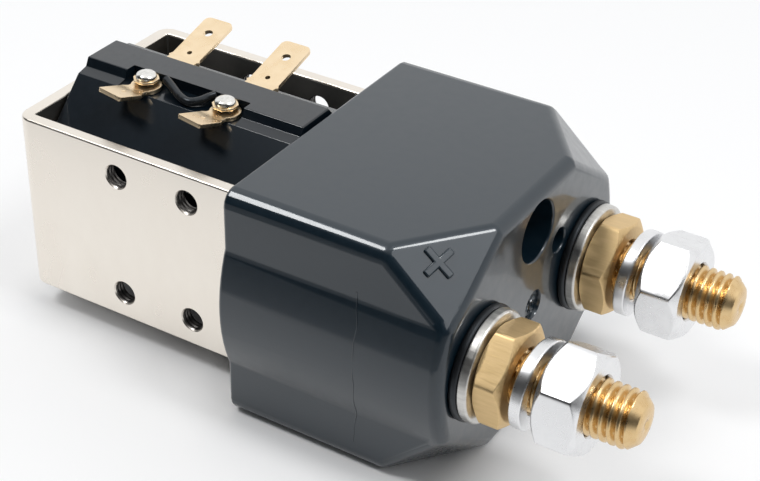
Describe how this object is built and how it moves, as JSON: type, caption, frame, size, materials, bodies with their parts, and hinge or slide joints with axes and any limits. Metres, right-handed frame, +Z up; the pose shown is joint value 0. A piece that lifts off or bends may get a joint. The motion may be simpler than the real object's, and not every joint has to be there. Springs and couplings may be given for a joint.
{
  "type": "dc contactor",
  "caption": "Sealed direct-current contactor with an open steel yoke round its coil, a faceted moulded contact cover, brass power studs with nuts, and blade coil terminals.",
  "frame": {"origin": "on the resting surface, below the middle of the part's overall length and width", "axes": "+X from the yoke's closed end towards the power studs, +Z up with the terminal ridge on top, -Y towards the side with the riveted front tabs"},
  "size_m": [0.126, 0.0632, 0.0491],
  "materials": {
    "nickel_steel": "satin nickel plate",
    "bare_steel": "fine turned",
    "spring_steel": "drawn wire",
    "zinc_plate": "bright zinc plate",
    "dull_zinc": "dull zinc plate",
    "stud_brass": "bright",
    "nut_brass": "fine machined",
    "tab_brass": "stamped sheet",
    "rivet_tin": "tinned",
    "copper": "bare copper",
    "enamelled_wire": "enamelled",
    "silver": "satin silver alloy",
    "cover_plastic": "satin thermoset",
    "coil_plastic": "fine matt",
    "insulator": "laminate",
    "black_rubber": "soft sheen",
    "lead_sleeve": "soft sleeve",
    "ferrite": "sintered"
  },
  "bodies": {
    "housing": {"yoke": "nickel_steel", "pole_plate": "bare_steel", "fixed_core": "bare_steel", "return_spring": "spring_steel", "cover_screws": "zinc_plate", "front_lock_washer": "zinc_plate", "rear_lock_washer": "zinc_plate", "front_steel_nut": "zinc_plate", "rear_steel_nut": "zinc_plate", "front_flat_washer": "dull_zinc", "rear_flat_washer": "dull_zinc", "front_stud": "stud_brass", "rear_stud": "stud_brass", "guide_tube": "stud_brass", "front_brass_nut": "nut_brass", "rear_brass_nut": "nut_brass", "left_front_tab": "tab_brass", "right_front_tab": "tab_brass", "left_rear_blade": "tab_brass", "right_rear_blade": "tab_brass", "terminal_collars": "tab_brass", "terminal_rivets": "rivet_tin", "winding": "enamelled_wire", "stud_tips": "silver", "cover": "cover_plastic", "coil_jacket": "coil_plastic", "bobbin": "coil_plastic", "front_seal": "black_rubber", "rear_seal": "black_rubber", "cover_gasket": "black_rubber", "buffer_washer": "black_rubber", "jumper_lead": "lead_sleeve", "front_magnet": "ferrite", "rear_magnet": "ferrite"},
    "plunger": {"plunger": "bare_steel", "push_rod": "bare_steel", "spring_seat": "bare_steel", "rod_clip": "bare_steel", "contact_spring": "spring_steel"},
    "bridge": {"bridge_insulator": "insulator", "contact_bridge": "copper", "bridge_tips": "silver"}
  },
  "joints": [
    {"name": "plunger_slide", "type": "slide", "parent": "housing", "child": "plunger", "axis": [1, 0, 0], "range_m": [0, 0.005], "stiffness_N_per_m": 400, "springref_m": -0.01, "deforming": ["return_spring"]},
    {"name": "bridge_slide", "type": "slide", "parent": "plunger", "child": "bridge", "axis": [1, 0, 0], "range_m": [-0.0015, 0], "stiffness_N_per_m": 1500, "springref_m": 0.001, "deforming": ["contact_spring"]}
  ],
  "couplings": [
    {"joint": "bridge_slide", "follows": "plunger_slide", "ratio": -0.3}
  ]
}
